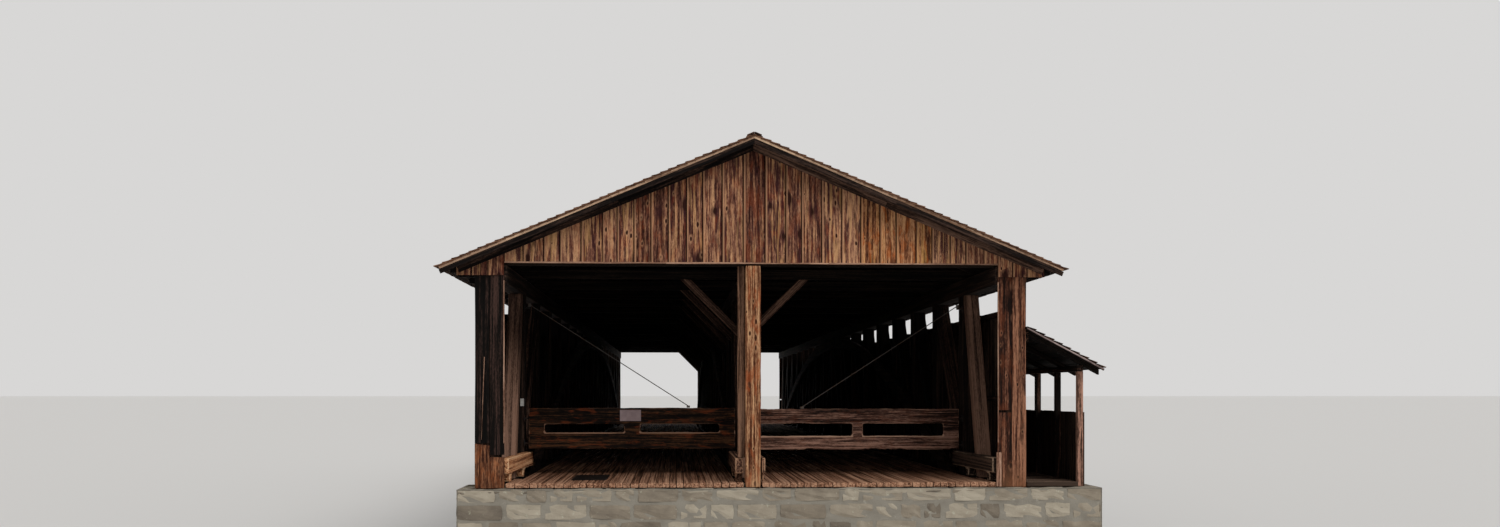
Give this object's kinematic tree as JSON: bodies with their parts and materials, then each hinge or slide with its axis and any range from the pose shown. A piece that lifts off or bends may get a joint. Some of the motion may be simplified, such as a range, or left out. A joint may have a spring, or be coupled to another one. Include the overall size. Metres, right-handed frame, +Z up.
{
  "type": "covered bridge, 1:2 scale model",
  "caption": "Timber covered bridge with two lanes side by side between arched trusses, plank gates at one portal, a shingled gable roof and a lean-to footpath.",
  "frame": {"origin": "on the floor under the face of the near portal, on the centre line of the middle truss", "axes": "+X to the footpath side, +Y along the bridge from the portal with gates to the far one, +Z up"},
  "size_m": [5.54, 26.03, 3.973],
  "materials": {
    "stone": "coursed rubble, weathered, lime mortar",
    "shingles": "split wood shingles, weathered dark brown",
    "gable_boards": "sawn boards, weathered tan and brown",
    "portal_timber": "sawn timber, worn",
    "trim": "sawn boards, weathered light",
    "side_boards": "sawn boards, weathered grey brown",
    "gate_wood": "planks, dark brown, worn",
    "guard_wood": "squared timber, worn",
    "deck_boards": "planks, trodden grey brown",
    "iron": "wrought iron, dark, rusted",
    "truss_timber": "sawn timber, dark brown"
  },
  "bodies": {
    "bridge": {"centre_arches": "truss_timber", "centre_lower_chord": "truss_timber", "centre_truss_braces": "truss_timber", "centre_truss_posts": "truss_timber", "centre_upper_chord": "truss_timber", "corner_boards": "portal_timber", "deck": "deck_boards", "far_abutment": "stone", "far_gable": "gable_boards", "floor_beams": "truss_timber", "footpath_beams": "truss_timber", "footpath_floor": "deck_boards", "footpath_parapet": "side_boards", "footpath_posts": "truss_timber", "footpath_rafters": "truss_timber", "footpath_roof": "shingles", "gable_trim": "trim", "gate_brackets": "iron", "girts": "truss_timber", "guard_timbers": "guard_wood", "knee_braces": "truss_timber", "left_arches": "truss_timber", "left_lower_chord": "truss_timber", "left_roof_boards": "truss_timber", "left_shingles": "shingles", "left_siding": "side_boards", "left_truss_braces": "truss_timber", "left_truss_posts": "truss_timber", "left_upper_chord": "truss_timber", "near_abutment": "stone", "near_gable": "gable_boards", "portal_posts": "portal_timber", "rafters": "truss_timber", "ridge_cap": "shingles", "right_arches": "truss_timber", "right_lower_chord": "truss_timber", "right_roof_boards": "truss_timber", "right_shingles": "shingles", "right_siding": "side_boards", "right_truss_braces": "truss_timber", "right_truss_posts": "truss_timber", "right_upper_chord": "truss_timber", "stringers": "truss_timber", "tie_beams": "truss_timber"},
    "left_gate": {"left_gate_leaf": "gate_wood", "left_gate_straps": "iron", "left_gate_stay": "iron"},
    "right_gate": {"right_gate_leaf": "gate_wood", "right_gate_straps": "iron", "right_gate_stay": "iron"}
  },
  "joints": [
    {"name": "left_gate_hinge", "type": "hinge", "parent": "bridge", "child": "left_gate", "pos_m": [-1.98, 1.3865, 1.5], "axis": [0, 0, 1], "range_deg": [0, 90]},
    {"name": "right_gate_hinge", "type": "hinge", "parent": "bridge", "child": "right_gate", "pos_m": [1.98, 1.3865, 1.5], "axis": [0, 0, -1], "range_deg": [0, 90]}
  ]
}
